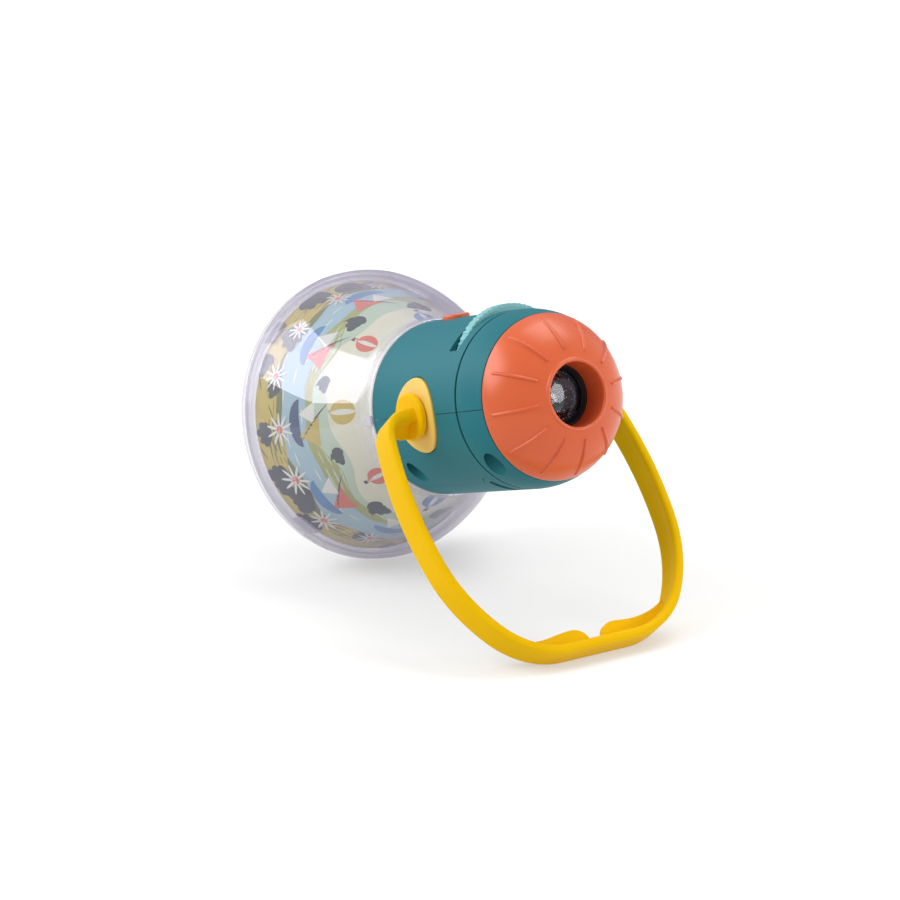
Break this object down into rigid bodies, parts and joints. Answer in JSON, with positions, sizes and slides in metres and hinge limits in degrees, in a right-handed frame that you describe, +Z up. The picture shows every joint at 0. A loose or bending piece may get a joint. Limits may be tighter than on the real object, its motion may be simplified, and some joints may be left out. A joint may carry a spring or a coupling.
{
  "type": "toy projector",
  "caption": "Toy picture projector and night light: ribbed focus ring, thumb-turned film disc, push button, clear flared bell over a printed sleeve, and a bail handle that is its stand.",
  "frame": {"origin": "on the ground under the middle of the object's box, as it stands on its bell rim and handle", "axes": "+Z up, the lens points towards -Y and a little up, +X is to the right of a viewer who faces the lens"},
  "size_m": [0.1096, 0.1712, 0.1161],
  "materials": {
    "clear_plastic": "clear, faintly lilac, polished",
    "printed_sheet": "printed sheet behind the clear bell",
    "frosted_white": "frosted",
    "teal_plastic": "fine satin",
    "pale_yellow_plastic": "satin",
    "yellow_plastic": "soft satin",
    "orange_plastic": "satin",
    "light_teal_plastic": "satin",
    "black_plastic": "satin",
    "lens_clear": "polished",
    "film": "exposed picture film",
    "friction_rubber": "moulded",
    "board_green": "solder mask",
    "led_clear": "clear cast resin",
    "plated_steel": "nickel plated",
    "cell_jacket": "plain dark jacket",
    "wire_jacket": "extruded",
    "plunger_plastic": "moulded"
  },
  "bodies": {
    "projector_body": {"bell_shade": "clear_plastic", "picture_sleeve": "printed_sheet", "rear_cover": "clear_plastic", "light_diffuser": "frosted_white", "upper_shell": "teal_plastic", "lower_shell": "teal_plastic", "left_pad": "pale_yellow_plastic", "right_pad": "pale_yellow_plastic", "left_friction_ring": "friction_rubber", "right_friction_ring": "friction_rubber", "film_gate": "black_plastic", "detent_spring": "plated_steel", "lamp_tube": "black_plastic", "condenser_lens": "lens_clear", "circuit_board": "board_green", "projection_led": "led_clear", "night_light_led": "led_clear", "switch_body": "black_plastic", "battery_left": "cell_jacket", "battery_middle": "cell_jacket", "battery_right": "cell_jacket", "spring_contacts": "plated_steel", "plate_contacts": "plated_steel", "battery_leads": "wire_jacket", "battery_door": "teal_plastic", "door_screw": "plated_steel", "shell_screws": "plated_steel"},
    "carry_handle": {"handle": "yellow_plastic"},
    "focus_turner": {"focus_ring": "orange_plastic"},
    "lens_cell": {"lens_barrel": "black_plastic", "focus_lens": "lens_clear", "lens_retainer": "black_plastic"},
    "picture_disc": {"film_disc": "light_teal_plastic", "film_frames": "film"},
    "push_button": {"power_button": "orange_plastic", "switch_plunger": "plunger_plastic"}
  },
  "joints": [
    {"name": "handle_swing", "type": "hinge", "parent": "projector_body", "child": "carry_handle", "pos_m": [0, -0.01324, 0.07635], "axis": [1, 0, 0], "range_deg": [-202, 74]},
    {"name": "focus_turn", "type": "hinge", "parent": "projector_body", "child": "focus_turner", "pos_m": [0, -0.05084, 0.08778], "axis": [0, -0.9568, 0.2909], "range_deg": [-50, 50]},
    {"name": "lens_slide", "type": "slide", "parent": "projector_body", "child": "lens_cell", "axis": [0, -0.9568, 0.2909], "range_m": [-0.0025, 0.0025]},
    {"name": "disc_turn", "type": "hinge", "parent": "projector_body", "child": "picture_disc", "pos_m": [0, -0.02766, 0.09233], "axis": [0, -0.9568, 0.2909], "continuous": true},
    {"name": "button_press", "type": "slide", "parent": "projector_body", "child": "push_button", "axis": [0, -0.2909, -0.9568], "range_m": [0, 0.0008], "stiffness_N_per_m": 1500, "springref_m": -0.0004}
  ],
  "couplings": [
    {"joint": "lens_slide", "follows": "focus_turn", "m_per_rad": 0.0028647}
  ]
}
